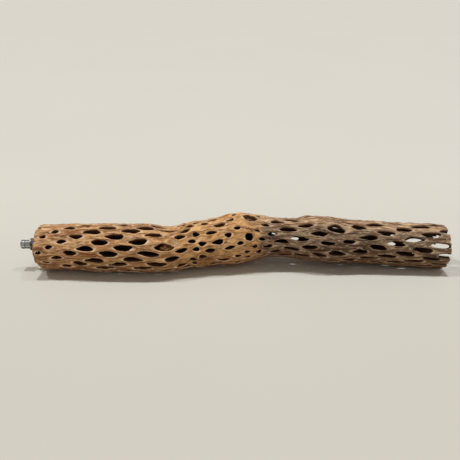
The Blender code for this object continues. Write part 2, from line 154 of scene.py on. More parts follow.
# cells without a window, on the viewer's side and behind it
SOLID_CELLS = [
    (-3, 1), (1, 3), (0, 4), (0, 2), (3, 6), (4, 6), (3, 4), (4, 4), (-2, 3), (-2, 5), (5, 6),
    (6, 1), (-4, -3),
    (13, 5), (14, 6), (13, 6), (13, 7), (14, 10), (13, 11), (14, 14), (15, 14), (15, 15),
]

# rings of a cell from its edge inwards: share of the way to the rim (past 1 towards the middle),
# lift in mm, share of the wall's depth, and depth in the window, which sets the wood's painted
# highlight on the lips and painted shade further in
OPEN_RINGS = [
    (0.0, 0.75, 0.0, 0.0), (0.42, 0.6, 0.0, 0.03), (0.78, 0.35, 0.0, 0.1), (0.95, 0.05, 0.0, 0.25),
    (1.0, -0.75, 0.0, 0.5), (1.05, 0.0, 0.4, 0.8), (1.05, 0.0, 0.85, 1.0), (0.80, 0.0, 1.0, 1.0),
    (0.0, 0.0, 1.0, 1.0),
]
SHUT_OUTER_RINGS = [
    (0.0, 0.75, 0.0, 0.0), (0.4, 0.65, 0.0, 0.0), (0.8, 0.5, 0.0, 0.02), (1.25, 0.4, 0.0, 0.05),
    (2.0, 0.35, 0.0, 0.05),
]
SHUT_INNER_RINGS = [(2.0, 0.0, 1.0, 1.0), (1.0, 0.0, 1.0, 1.0), (0.0, 0.0, 1.0, 1.0)]
SCAR_OUTER_RINGS = [
    (0.0, 0.75, 0.0, 0.0), (0.45, 0.6, 0.0, 0.0), (0.75, 1.3, 0.0, 0.15), (1.0, 2.0, 0.0, 0.26),
    (1.08, 0.8, 0.0, 0.5), (1.16, -1.2, 0.0, 0.9), (1.45, -2.4, 0.0, 0.9), (2.0, -2.4, 0.0, 0.9),
]

# uneven growth: count of waves, their lengths in mm, turns round the log and share of the height
GROWTH_WAVES = [(8, (14.0, 46.0), (2, 9), 1.0), (14, (7.0, 18.0), (7, 22), 0.75)]
GROWTH_HEIGHT = 0.155
GROWTH_SEED = SEED + 7
# a small bump on the top side
BUMP_AT, BUMP_ANGLE, BUMP_RISE, BUMP_REACH = 265.0, -90.0, 2.4, (5.0, 16.0)
# wear of the sawn left edge all round, and of its lower corner
EDGE_WEAR, EDGE_WEAR_OVER = 0.6, 2.5
CORNER_WEAR, CORNER_WEAR_OVER = 3.4, 5.5
CORNER_ANGLE, CORNER_SPREAD = 82.0, 42.0

# dried buds: distance, angle and depth of the middle, then length, height and thickness
BUD_AT, BUD_SIZE = (129.5, -3.0, 4.2), (17.0, 8.4, 6.0)
SCAR_BUD_AT, SCAR_BUD_SIZE = (207.9, -50.0, 3.2), (9.4, 7.0, 3.6)
# waves of a bud's surface: share of its radius, count round it and count along it
BUD_WAVES = ((0.1, 3, 5), (0.07, 7, -9), (0.05, 0, 13))
BUD_STEPS_ALONG, BUD_STEPS_ROUND = 40, 64

# the fitting
STUD_Y = -4.4
STUD_RADIUS, STUD_ROOT, STUD_PITCH = 2.5, 2.1, 0.8
STUD_STATION, STUD_SIDES = 0.08, 32
THREAD_SLOPE, THREAD_CREST = 1.35, 0.15
WASHER_RADIUS, WASHER_THICK, WASHER_EDGE = 6.2, 1.2, 0.3
HOLE_RADIUS = STUD_RADIUS + 0.3
NUT_ACROSS, NUT_BORE_EDGE = 8.0, 0.4
NUT_CORNER_CUT, NUT_CORNER_REACH = 0.14, 2.2
# the cone that cuts back a nut's corners: distance from its face and radius
NUT_CONE = [
    (0.0, HOLE_RADIUS + 0.5), (0.0, 3.7), (0.05, 3.86), (0.16, 4.02), (0.3, 4.3), (0.5, 4.7),
    (0.9, 5.0),
]
NUT_TURNS = np.array([0, 6, 12, 18, 23, 26, 28, 29, 30, 31, 32, 34, 37, 42, 48, 54])
# the plug's pith, in metres
PITH = (-0.0062, 0.0225)

# the photo's camera, at a distance where one of its pixels spans one millimetre
CAMERA_PITCH, CAMERA_ROLL = math.radians(25.8), math.radians(0.55)
CAMERA_AIM = (-2.0, -7.4, 22.5)
CAMERA_AWAY, CAMERA_UP = 498.0, 17.4
SENSOR_WIDTH, PHOTO_WIDTH = 36.0, 460.0
# suns: name, lean along X and Y, strength and spread in degrees
LIGHTS = (
    ("middle_light", (0.0, 0.13), 1.22, 5.0),
    ("left_light", (-0.62, 0.13), 0.76, 4.0),
    ("right_light", (0.42, 0.13), 0.36, 6.0),
)
LIGHT_COLOUR = (0.955, 0.985, 1.0)
ROOM_COLOUR, ROOM_STRENGTH = (1.0, 0.92, 0.83, 1), 0.3


# numbers along and round
def along(stations, values, place):
    """Smooth curve through the values at the stations: cubic pieces that share their slopes."""
    x = np.asarray(stations, float)
    y = np.asarray(values, float)
    slope = np.gradient(y, x)
    s = np.clip(place, x[0], x[-1])
    k = np.clip(np.searchsorted(x, s, side="right") - 1, 0, len(x) - 2)
    h = x[k + 1] - x[k]
    t = (s - x[k]) / h
    rise = y[k + 1] - y[k]
    a = slope[k] * h - rise
    b = rise - slope[k + 1] * h
    return y[k] + t * rise + t * (1 - t) * (a * (1 - t) + b * t)


def turned(angle):
    """An angle brought to between -180 and 180 degrees."""
    return (np.asarray(angle) + 180.0) % 360.0 - 180.0


def nearness(gap_along, gap_round, reach):
    """1 at no gap and falling off smoothly within the reach, in mm along and degrees round."""
    return np.exp(-((gap_along / reach[0]) ** 2) - (gap_round / reach[1]) ** 2)


def lumps(s, angle):
    """Uneven growth of the surface: slow and short waves along and round the log."""
    draw = np.random.default_rng(GROWTH_SEED)
    total = np.zeros(np.shape(s))
    for count, lengths, turn_counts, share in GROWTH_WAVES:
        for _ in range(count):
            length = draw.uniform(*lengths)
            turns = draw.integers(*turn_counts)
            phase = draw.uniform(0, 2 * math.pi, 2)
            wave = np.sin(2 * math.pi * s / length + phase[0])
            total = total + share * wave * np.sin(np.radians(angle) * turns + phase[1])
    return total * GROWTH_HEIGHT


def radius_at(s, angle):
    """The log's swelling radius, plus one small bump on its top side."""
    bump = nearness(s - BUMP_AT, turned(angle - BUMP_ANGLE), BUMP_REACH)
    return along(SHAPE_AT, RADIUS, s) + BUMP_RISE * bump


def end_wear(s, angle):
    """How far the sawn left edge is worn down: a little all round, most at its lower corner."""
    edge = EDGE_WEAR * np.clip(1 - s / EDGE_WEAR_OVER, 0, 1) ** 2
    corner = np.exp(-((turned(angle - CORNER_ANGLE) / CORNER_SPREAD) ** 2))
    return edge + CORNER_WEAR * np.clip(1 - s / CORNER_WEAR_OVER, 0, 1) ** 2 * corner


def plain_place(row, place):
    """A lattice point's distance along the log, mostly from its place, and angle, from its row."""
    u = place - row * ROW_STEP / ROWS
    s = sum(np.interp(u + d, LATTICE_AT, LATTICE_S) for d in PLACE_EASE) / 3
    angle = row * ROW_ANGLE + FIRST_ROW_ANGLE
    right_half = np.clip((s - PULL_FROM) / PULL_OVER, 0, 1)
    low = np.exp(-((turned(angle - LOW_ROWS_ANGLE) / LOW_ROWS_SPREAD) ** 2))
    turn = np.radians(angle)
    waist = np.exp(-(((s - WAIST_AT) / WAIST_REACH) ** 2))
    twist = TWIST_BEHIND * (1 - np.cos(turn)) + TWIST_BELOW * np.sin(turn)
    s = s + twist * np.clip((s - TWIST_FROM) / TWIST_OVER, 0, 1)
    angle = angle + LOW_ROWS_PULL * right_half * low
    return s, angle - WAIST_PULL * np.sin(turn) * waist


def lattice_place(row, place):
    """A lattice point pulled towards each knot's true place, pushed away round it, then nudged."""
    s, angle = plain_place(row, place)
    for knot_row, knot_place, knot_s, knot_angle, _, _, push in KNOTS:
        from_s, from_angle = plain_place(np.array(knot_row), np.array(knot_place))
        pull = nearness(s - from_s, turned(angle - from_angle), PULL_REACH)
        s = s + (knot_s - from_s) * pull
        angle = angle + float(turned(knot_angle - from_angle)) * pull
        gap = turned(angle - knot_angle)
        angle = angle + gap * push * nearness(s - knot_s, gap, PUSH_REACH)
    for near_row, near_place, shift, turn in NUDGES:
        from_s, from_angle = plain_place(np.array(near_row), np.array(near_place))
        near = nearness(s - from_s, turned(angle - from_angle), NUDGE_REACH)
        s = s + shift * near
        angle = angle + turn * near
    return s, angle


def solid_place(s, angle, radius):
    """Point at a distance along the bent axis, an angle from the viewer's side and a radius."""
    back = along(SHAPE_AT, AXIS_BACK, s) + AXIS_SHIFT_Y
    height = along(SHAPE_AT, AXIS_LIFT, s) + along(SHAPE_AT, RADIUS, s) - FLAT_DEPTH
    turn = np.radians(angle) - VIEW_RISE
    y = back - radius * np.cos(turn)
    z = height - radius * np.sin(turn)
    return np.stack([LEFT_FACE_X + s, y, z], axis=-1)


# meshes from arrays
def write_mesh(name, points, quads, values=None):
    """A mesh object from an array of points in millimetres and an array of four-cornered faces."""
    mesh = bpy.data.meshes.new(name)
    quads = np.asarray(quads, dtype=np.int32)
    mesh.vertices.add(len(points))
    mesh.vertices.foreach_set("co", (np.asarray(points) * MM).astype(np.float32).ravel())
    mesh.loops.add(quads.size)
    mesh.loops.foreach_set("vertex_index", quads.ravel())
    mesh.polygons.add(len(quads))
    starts = np.arange(0, quads.size, quads.shape[1], dtype=np.int32)
    mesh.polygons.foreach_set("loop_start", starts)
    for title, kind, data in values or []:
        layer = mesh.attributes.new(title, kind, "POINT")
        key = "vector" if kind == "FLOAT_VECTOR" else "value"
        layer.data.foreach_set(key, np.asarray(data, dtype=np.float32).ravel())
    mesh.update(calc_edges=True)
    made = bpy.data.objects.new(name, mesh)
    bpy.context.scene.collection.objects.link(made)
    return made


def grid_faces(across, around):
    """Faces of a grid of rings, each joined to the next, closed round each ring."""
    a = np.arange(across - 1)[:, None] * around + np.arange(around)[None, :]
    b = np.arange(across - 1)[:, None] * around + (np.arange(around)[None, :] + 1) % around
    return np.stack([a, b, b + around, a + around], axis=-1).reshape(-1, 4)


def closing_faces(across, around):
    """Faces that join the last ring of a grid to its first."""
    last = np.arange(around) + (across - 1) * around
    first = np.arange(around)
    return np.stack([last, np.roll(last, -1), np.roll(first, -1), first], axis=-1)


@contextmanager
def open_mesh(piece):
    """The piece's mesh opened for bmesh tools and written back afterwards."""
    work = bmesh.new()
    work.from_mesh(piece.data)
    yield work
    work.to_mesh(piece.data)
    work.free()


# the net of wood: a cell's six corners in thirds of a row and a place, the steps along its
# edges, and the turn round its window that each corner faces
CORNERS = np.array([(2, 1), (1, -1), (-1, -2), (-2, -1), (-1, 1), (1, 2)], float) / 3
LONG_STEPS, SHORT_STEPS = 6, 2
EDGE_STEPS = [LONG_STEPS, SHORT_STEPS, LONG_STEPS, LONG_STEPS, SHORT_STEPS, LONG_STEPS]
RIM_TURNS = np.radians([90, 165, 195, 270, 345, 375, 450])


def cell_ring():
    """Steps in rows and places round a cell's edge, and the matching turn round its window."""
    steps, turns = [], []
    for n, count in enumerate(EDGE_STEPS):
        share = np.arange(count)[:, None] / count
        steps.append(CORNERS[n] * (1 - share) + CORNERS[(n + 1) % 6] * share)
        turns.append(RIM_TURNS[n] * (1 - share[:, 0]) + RIM_TURNS[n + 1] * share[:, 0])
    return np.concatenate(steps), np.concatenate(turns)


def same_cell(row, place, cell):
    """Whether a row and place name the given cell, counting whole turns round the log."""
    turns = (cell[0] // ROWS) * ROWS
    return (row == cell[0] - turns) & (place == cell[1] - turns // ROWS * ROW_STEP)


def cell_draws(kind, row, place):
    """Four random numbers from 0 to 1 for each cell, seeded by the kind, its row and its place."""
    seeds = [(SEED + kind, r, p + 50) for r, p in zip(row, place)]
    return np.array([np.random.default_rng(seed).random(4) for seed in seeds])


def window_sizes(row, place, mid_s, mid_angle):
    """Each window's length, width and lean, and which cells are shut, scarred and ringed."""
    draws = cell_draws(0, row, place)
    long = np.interp(mid_s, WINDOW_AT, WINDOW_LONG) * (LONG_LEAST + LONG_RANGE * draws[:, 0])
    wide = np.interp(mid_s, WINDOW_AT, WINDOW_WIDE) * (WIDE_LEAST + WIDE_RANGE * draws[:, 1])
    behind = np.clip(-np.cos(np.radians(mid_angle)), 0, 1)
    behind = behind * np.clip((BEHIND_TO - mid_s) / BEHIND_OVER, 0, 1)
    below = np.exp(-((turned(mid_angle - BELOW_ANGLE) / BELOW_SPREAD) ** 2))
    below = below * np.clip((mid_s - BELOW_FROM) / BELOW_OVER, 0, 1)
    for share in (1 - SMALLER_BEHIND * behind, 1 - SMALLER_BELOW * below):
        long = long * share
        wide = wide * share
    small = (mid_s > SMALL_FROM) & (mid_s < SMALL_TO)
    lean = (draws[:, 2] - 0.5) * np.where(small, SMALL_LEAN_RANGE, LEAN_RANGE)

    chance = cell_draws(1, row, place)[:, 0]
    shut = small & (np.abs(turned(mid_angle)) > BEHIND_ANGLE) & (chance < SHUT_SHARE_BEHIND)
    for cell in SOLID_CELLS:
        shut = shut | same_cell(row, place, cell)
    scar = same_cell(row, place, SCAR)
    ringed = scar
    for knot_row, knot_place, _, _, knot_long, knot_wide, _ in KNOTS:
        here = same_cell(row, place, (knot_row, knot_place))
        ringed = ringed | (here & (knot_wide > RINGED_FROM))
        long = np.where(here, knot_long, long)
        wide = np.where(here, knot_wide, wide)
        lean = np.where(here, 0.0, lean)
    narrow = same_cell(row, place, NARROW_BEHIND)
    long = np.where(narrow, NARROW_LONG * long, long)
    wide = np.where(narrow, NARROW_WIDE * wide, wide)
    return long, wide, lean, shut, scar, ringed


def window_outline(turns, long, wide, lean, shape):
    """Points round each window from its middle: a leaning lens, made uneven by two slow waves."""
    t = turns[None, :]
    uneven = 1
    for n, (share, count) in enumerate(OUTLINE_WAVES):
        size, phase = shape[:, 2 * n, None], shape[:, 2 * n + 1, None]
        uneven = uneven + share * size * np.cos(count * t + PHASE_RANGE * phase)
    a = 0.5 * long[:, None] * np.cos(t) * uneven
    b = 0.5 * wide[:, None] * np.sin(t) * np.abs(np.sin(t)) ** LENS_POWER * uneven
    x = a * np.cos(lean)[:, None] - b * np.sin(lean)[:, None]
    y = a * np.sin(lean)[:, None] + b * np.cos(lean)[:, None]
    return np.stack([x, y], -1)


def held_inside(rim, hexagon, centre, limit):
    """The rims moved to their cells' centres, none past its share of the way to the edge."""
    corner = hexagon[:, np.cumsum([0] + EDGE_STEPS[:-1])]
    side = np.roll(corner, -1, axis=1) - corner
    normal = np.stack([side[..., 1], -side[..., 0]], -1)
    reach = (normal * (corner - centre[:, None])).sum(-1)
    full = (np.einsum("cpk,cek->cpe", rim, normal) / reach[:, None, :]).max(-1)
    share = np.minimum(1.0, limit[:, None] / np.maximum(full, 1e-6))
    return rim * share[..., None] + centre[:, None]


def net_of_wood():
    """Rings of points for every cell at once, from its edge over the rim and through the wall.

    A cell is a six-sided patch of the spiral lattice and shares its edge with its neighbours.
    Every ring between its edge and its window is a straight mix of the two, set at its own
    height or depth in the wall. Shut cells and the scar are closed over instead, and the
    widest knots have a raised ring.
    """
    places = np.arange(FIRST_PLACE, PAST_PLACE)
    row, place = np.meshgrid(np.arange(ROWS), places, indexing="ij")
    u = place - row * ROW_STEP / ROWS
    keep = (u > CELLS_FROM) & (u < CELLS_TO)
    row, place = row[keep], place[keep]
    steps, turns = cell_ring()
    edge_s, edge_angle = lattice_place(row[:, None] + steps[:, 0], place[:, None] + steps[:, 1])
    mid_s, mid_angle = lattice_place(row.astype(float), place.astype(float))
    long, wide, lean, shut, scar, ringed = window_sizes(row, place, mid_s, mid_angle)

    arc = math.radians(1) * radius_at(mid_s, mid_angle)
    edge_gap = (edge_angle - mid_angle[:, None]) * arc[:, None]
    hexagon = np.stack([edge_s - mid_s[:, None], edge_gap], -1)
    centre = hexagon.mean(axis=1) * 0.5
    rim = window_outline(turns, long, wide, lean, cell_draws(2, row, place))
    rim = held_inside(rim, hexagon, centre, np.where(scar, SCAR_RIM_LIMIT, RIM_LIMIT))
    rim_s = mid_s[:, None] + rim[..., 0]
    rim_angle = mid_angle[:, None] + rim[..., 1] / arc[:, None]
    hub_s = (mid_s + centre[:, 0])[:, None]
    hub_angle = (mid_angle + centre[:, 1] / arc)[:, None]

    def layer(mix, lift, depth, wood):
        """One ring of every cell: points, place in the grain, colour depth and angle."""
        if mix <= 1:
            s = edge_s * (1 - mix) + rim_s * mix
            angle = edge_angle * (1 - mix) + rim_angle * mix
        else:
            s = rim_s * (2 - mix) + hub_s * (mix - 1)
            angle = rim_angle * (2 - mix) + hub_angle * (mix - 1)
        ring = ringed[:, None] & (RING_FROM < mix < RING_TO) & (depth == 0)
        wall_depth = depth * np.interp(s, WALL_AT, WALL)
        radius = radius_at(s, angle) + lumps(s, angle) + lift - wall_depth
        radius = radius + np.where(ring, RING_LIFT, 0.0)
        radius = radius - end_wear(s, angle) * (1 - depth)
        points = solid_place(s, angle, radius)
        across = np.radians(edge_angle * (1 - min(mix, 1)) + hub_angle * min(mix, 1))
        grain_radius = radius_at(s, angle) - wall_depth
        grain = np.stack([s, grain_radius * np.sin(across), grain_radius * np.cos(across)], -1)
        tint = np.where(ring & (mix > RING_PALE_FROM), max(wood, RING_PALE), wood) + 0 * s
        return points, grain * MM, tint, np.broadcast_to(turned(angle), s.shape)

    sheets = [
        (OPEN_RINGS, ~shut & ~scar),
        (SHUT_OUTER_RINGS, shut & ~scar),
        (SHUT_INNER_RINGS, shut | scar),
        (SCAR_OUTER_RINGS, scar),
    ]
    points, grains, tints, angles, faces = [], [], [], [], []
    start = 0
    for rings, which in sheets:
        made = [layer(*ring) for ring in rings]
        stack = [np.stack([m[k][which] for m in made], axis=1) for k in range(4)]
        count, across, around = stack[2].shape
        base = grid_faces(across, around)
        offsets = start + np.arange(count)[:, None, None] * across * around
        faces.append((base[None] + offsets).reshape(-1, 4))
        points.append(stack[0].reshape(-1, 3))
        grains.append(stack[1].reshape(-1, 3))
        tints.append(stack[2].reshape(-1))
        angles.append(stack[3].reshape(-1))
        start += count * across * around
    angle = np.radians(np.concatenate(angles))
    values = [
        ("grain", "FLOAT_VECTOR", np.concatenate(grains)),
        ("depth", "FLOAT", np.concatenate(tints)),
        ("facing", "FLOAT_VECTOR", np.stack([np.cos(angle), np.sin(angle), 0 * angle], -1)),
    ]
    return write_mesh("skeleton_net", np.concatenate(points), np.concatenate(faces), values)


def saw(piece, point, normal):
    """Cut a mesh by a plane, drop what lies beyond it and fill the sawn faces flat."""
    point = Vector(point) * MM
    with open_mesh(piece) as work:
        cut = bmesh.ops.bisect_plane(
            work,
            geom=work.verts[:] + work.edges[:] + work.faces[:],
            dist=1e-7,
            plane_co=point,
            plane_no=normal,
            clear_outer=True,
        )
        rim = [e for e in cut["geom_cut"] if isinstance(e, bmesh.types.BMEdge)]
        filled = bmesh.ops.triangle_fill(work, edges=rim, use_beauty=False, normal=normal)
        for edge in rim:
            edge.smooth = False
        for face in [f for f in filled["geom"] if isinstance(f, bmesh.types.BMFace)]:
            face.smooth = False


def skeleton():
    """The net joined into one closed surface, sawn at both ends and flat where it lies."""
    piece = net_of_wood()
    with open_mesh(piece) as work:
        bmesh.ops.remove_doubles(work, verts=work.verts, dist=2e-6)
        for face in work.faces:
            face.smooth = True
    saw(piece, (LEFT_FACE_X, STUD_Y, 0), (-1, LEFT_CUT_SLANT, 0))
    saw(piece, (LEFT_FACE_X + LOG_LENGTH, 0, 0), (1, 0, 0))
    saw(piece, (0, 0, 0), (0, 0, -1))
    with open_mesh(piece) as work:
        bmesh.ops.recalc_face_normals(work, faces=work.faces)
        loose = sum(len(e.link_faces) != 2 for e in work.edges)
        print("skeleton faces", len(work.faces), "edges not shared by two faces", loose)
    return piece


# shader writing
class Value:
    """A socket that adds Math nodes when it is used in a sum, product or power."""

    def __init__(self, paint, socket):
        self.paint, self.socket = paint, socket

    def math(self, kind, *others):
        return self.paint.node("ShaderNodeMath", {"operation": kind}, self, *others)

    def __add__(self, other):
        return self.math("ADD", other)

    def __radd__(self, other):
        return self.math("ADD", other)

    def __sub__(self, other):
        return self.math("SUBTRACT", other)

    def __rsub__(self, other):
        return self.paint.node("ShaderNodeMath", {"operation": "SUBTRACT"}, other, self)

    def __mul__(self, other):
        return self.math("MULTIPLY", other)

    def __pow__(self, other):
        return self.math("POWER", other)

    def clamped(self):
        return self.paint.node("ShaderNodeClamp", {}, self)

    def step(self, low, high):
        """0 below low and 1 above high, smooth between."""
        smooth = {"interpolation_type": "SMOOTHSTEP"}
        return self.paint.node("ShaderNodeMapRange", smooth, self, low, high, 0.0, 1.0)


class Paint:
    """One material: adds nodes by type, with their settings and then their sockets' values."""

    def __init__(self, name, **fixed):
        self.material = bpy.data.materials.new(name)
        self.material.use_nodes = True
        self.tree = self.material.node_tree
        self.shader = self.tree.nodes["Principled BSDF"]
        for key, value in fixed.items():
            self.shader.inputs[key.replace("_", " ")].default_value = value

    def put(self, socket, value):
        if isinstance(value, Value):
            self.tree.links.new(value.socket, socket)
        else:
            socket.default_value = value

    def node(self, kind, settings, *values, out=0, **named):
        made = self.tree.nodes.new(kind)
        for key, value in settings.items():
            setattr(made, key, value)
        for socket, value in zip(made.inputs, values):
            self.put(socket, value)
        for key, value in named.items():
            self.put(made.inputs[key.replace("_", " ")], value)
        return Value(self, made.outputs[out])

    def attribute(self, name, out="Fac"):
        made = self.tree.nodes.new("ShaderNodeAttribute")
        made.attribute_name = name
        return Value(self, made.outputs[out])

    def place(self):
        """The object's own coordinates, in metres."""
        return self.node("ShaderNodeTexCoord", {}, out="Object")

    def parts(self, vector):
        made = self.tree.nodes.new("ShaderNodeSeparateXYZ")
        self.put(made.inputs[0], vector)
        return [Value(self, socket) for socket in made.outputs]

    def stretched(self, vector, scale):
        """The vector with each part multiplied by its own number."""
        return self.node("ShaderNodeVectorMath", {"operation": "MULTIPLY"}, vector, scale)

    def noise(self, vector, scale, detail=3.0, rough=0.5, twist=0.0):
        values = {"Vector": vector, "Scale": scale, "Detail": detail}
        values.update(Roughness=rough, Distortion=twist)
        return self.node("ShaderNodeTexNoise", {}, **values)

    def blend(self, share, first, second):
        """A colour between two colours."""
        made = self.tree.nodes.new("ShaderNodeMix")
        made.data_type = "RGBA"
        self.put(made.inputs[0], share)
        self.put(made.inputs[6], first)
        self.put(made.inputs[7], second)
        return Value(self, made.outputs[2])

    def bump(self, height, distance, strength=1.0):
        values = {"Height": height, "Distance": distance, "Strength": strength}
        return self.node("ShaderNodeBump", {}, **values)

    def finish(self, **sockets):
        for key, value in sockets.items():
            self.put(self.shader.inputs[key.replace("_", " ")], value)
        return self.material


def tone(red, green, blue):
    """A display colour, 0 to 255, as the linear colour a shader takes."""
    parts = [c / 255 for c in (red, green, blue)]
    linear = [c / 12.92 if c <= 0.04045 else ((c + 0.055) / 1.055) ** 2.4 for c in parts]
    return tuple(linear) + (1.0,)


# distances from the middle, in metres, between which the wood's look turns to a sawn face's
LEFT_SAWN, RIGHT_SAWN = (0.1909, 0.19098), (0.2109, 0.21098)


def weathered_wood():
    """Tan wood that turns grey-brown past the middle, its fibres flowing round the windows.

    The mesh gives the place in the grain, the depth in a window and the way that it faces; depth
    and facing also set painted shade below and in the windows, and a painted highlight on their
    lips.
    """
    p = Paint("weathered_wood", Specular_IOR_Level=0.3)
    grain = p.attribute("grain", "Vector")
    depth = p.attribute("depth")
    downward = p.parts(p.attribute("facing", "Vector"))[1]
    x = p.parts(p.place())[0]
    fibres = p.noise(p.stretched(grain, (0.07, 1.0, 1.0)), 1300.0, 2.0, 0.6)
    strands = p.noise(p.stretched(grain, (0.09, 1.0, 1.0)), 620.0, 3.0, 0.6)
    streaks = p.noise(p.stretched(grain, (0.14, 1.0, 1.0)), 240.0, 4.0, 0.6, 0.3)
    patches = p.noise(grain, 50.0, 4.0, 0.6)
    clouds = p.noise(p.place(), 24.0, 2.0, 0.5)
    flecks = p.noise(p.stretched(grain, (0.3, 1.0, 1.0)), 520.0, 2.0, 0.7)

    # tan half
    tan = p.blend(streaks.step(0.36, 0.64), tone(168, 104, 50), tone(250, 196, 136))
    tan = p.blend(patches.step(0.5, 0.7) * 0.55, tan, tone(198, 132, 60))
    tan = p.blend(clouds.step(0.5, 0.72) * 0.4, tan, tone(248, 196, 142))
    tan = p.blend(x.step(-0.1, -0.03) * 0.42, tan, tone(255, 194, 116))
    # grey half, tan again along its top
    grey = p.blend(streaks.step(0.34, 0.66), tone(62, 46, 34), tone(160, 134, 107))
    grey = p.blend(patches.step(0.5, 0.7) * 0.5, grey, tone(116, 84, 58))
    top = p.blend(streaks.step(0.36, 0.64), tone(146, 104, 68), tone(232, 194, 154))
    side = downward + (streaks - 0.5) * 0.5 + (clouds - 0.5) * 0.4
    grey = p.blend(side.step(-0.75, -0.4), top, grey)
    border = x + (clouds - 0.5) * 0.02 + (patches - 0.5) * 0.03
    colour = p.blend(border.step(0.02, 0.038), tan, grey)
    # dark, pale and fine fibres, then short dark and pale flecks
    colour = p.blend(strands.step(0.52, 0.64) * 0.75, colour, tone(92, 52, 22))
    colour = p.blend(strands.step(0.46, 0.34) * 0.4, colour, tone(246, 204, 156))
    colour = p.blend(fibres.step(0.5, 0.72) * 0.35, colour, tone(84, 52, 30))
    colour = p.blend(flecks.step(0.52, 0.64) * 0.5, colour, tone(116, 68, 34))
    colour = p.blend(flecks.step(0.46, 0.34) * 0.42, colour, tone(255, 226, 190))
    # painted shade on the underside
    colour = p.blend(downward.step(0.15, 1.0) * 0.6, colour, tone(98, 54, 12))
    # painted highlight, with some edge wear: pale lips round the windows
    lip_highlight = depth.step(0.05, 0.2) * (1.0 - depth.step(0.3, 0.42))
    lip_highlight = lip_highlight * (1.0 - strands.step(0.45, 0.62) * 0.5) * 0.8
    pale = p.blend(border.step(0.0, 0.04), tone(252, 220, 182), tone(190, 164, 136))
    colour = p.blend(lip_highlight, colour, pale)
    # painted shade: the windows' walls and the wood inside them darkened towards near black
    colour = p.blend(depth.step(0.28, 0.5) * 0.85, colour, tone(84, 40, 16))
    colour = p.blend(depth.step(0.6, 0.95) * 0.7, colour, tone(32, 14, 6))
    # sawn ends
    ends = (x * -1.0).step(*LEFT_SAWN) + x.step(*RIGHT_SAWN)
    sawn = p.blend(fibres.step(0.35, 0.7), tone(136, 98, 64), tone(196, 156, 116))
    colour = p.blend(ends.clamped(), colour, sawn)

    height = fibres * 0.3 + strands * 0.9 + streaks * 0.9
    normal = p.bump(height, 0.0012, 0.9)
    rough = 0.55 + fibres * 0.2 + depth * 0.15
    return p.finish(Base_Color=colour, Roughness=rough, Normal=normal)


# stage
def look_matrix():
    """The photo's camera: pitch, roll and distance worked out from the log's own outline."""
    ahead = Vector((0, math.cos(CAMERA_PITCH), -math.sin(CAMERA_PITCH)))
    up = Vector((0, math.sin(CAMERA_PITCH), math.cos(CAMERA_PITCH)))
    right = Vector((1, 0, 0))
    place = Vector(CAMERA_AIM) - CAMERA_AWAY * ahead + CAMERA_UP * up
    across = right * math.cos(CAMERA_ROLL) - up * math.sin(CAMERA_ROLL)
    above = right * math.sin(CAMERA_ROLL) + up * math.cos(CAMERA_ROLL)
    made = Matrix((across, above, -ahead)).transposed().to_4x4()
    made.translation = place * MM
    return made


def stage():
    """Camera, pale floor, three soft suns and the light of the room."""
    scene = bpy.context.scene
    scene.view_settings.view_transform = "Standard"
    camera = bpy.data.cameras.new("camera")
    camera.sensor_width = SENSOR_WIDTH
    camera.lens = SENSOR_WIDTH * CAMERA_AWAY / PHOTO_WIDTH
    camera.clip_start = 0.01
    eye = bpy.data.objects.new("camera", camera)
    eye.matrix_world = look_matrix()
    scene.collection.objects.link(eye)
    scene.camera = eye

    floor_points = np.array([(-20, -12, 0), (20, -12, 0), (20, 30, 0), (-20, 30, 0)]) / MM
    floor = write_mesh("floor", floor_points, [(0, 1, 2, 3)])
    paint = Paint("pale_floor", Roughness=0.6, Specular_IOR_Level=0.25)
    place = paint.place()
    wash = paint.noise(place, 3.0, 2.0)
    # painted light and shade: the floor is darker at the front and lighter behind
    front = paint.blend(wash, tone(213, 208, 197), tone(217, 212, 202))
    behind = paint.blend(wash, tone(226, 222, 212), tone(230, 226, 216))
    far = paint.parts(place)[1].step(-0.25, 0.25)
    floor.data.materials.append(paint.finish(Base_Color=paint.blend(far, front, behind)))

    for name, lean, strength, spread in LIGHTS:
        light = bpy.data.lights.new(name, "SUN")
        light.energy = strength
        light.angle = math.radians(spread)
        light.color = LIGHT_COLOUR
        lamp = bpy.data.objects.new(name, light)
        towards = Vector((lean[0], lean[1], 1.0))
        lamp.rotation_euler = towards.to_track_quat("Z", "Y").to_euler()
        scene.collection.objects.link(lamp)
    world = bpy.data.worlds.new("room")
    world.use_nodes = True
    background = world.node_tree.nodes["Background"].inputs
    background[0].default_value = ROOM_COLOUR
    background[1].default_value = ROOM_STRENGTH
    scene.world = world


def dried_bud(name, at, size):
    """Dried bud: an egg whose radius rises and falls in waves round and along it."""
    v = np.linspace(0, math.pi, BUD_STEPS_ALONG)[:, None]
    w = np.arange(BUD_STEPS_ROUND)[None, :] * 2 * math.pi / BUD_STEPS_ROUND
    ripple = 1
    for share, count_round, count_along in BUD_WAVES:
        ripple = ripple + share * np.sin(count_round * w + count_along * v)
    ripple = 1 + (ripple - 1) * np.sin(v) ** 0.5
    s = at[0] - 0.5 * size[0] * np.cos(v) + 0 * w
    high = 0.5 * size[1] * np.sin(v) ** 0.8 * np.cos(w) * ripple
    deep = 0.5 * size[2] * np.sin(v) ** 0.8 * np.sin(w) * ripple
    base = radius_at(s, 0 * s + at[1])
    angle = at[1] + np.degrees(high / base)
    points = solid_place(s, angle, base - at[2] + deep)
    return closed_piece(name, points.reshape(-1, 3), grid_faces(BUD_STEPS_ALONG, BUD_STEPS_ROUND))


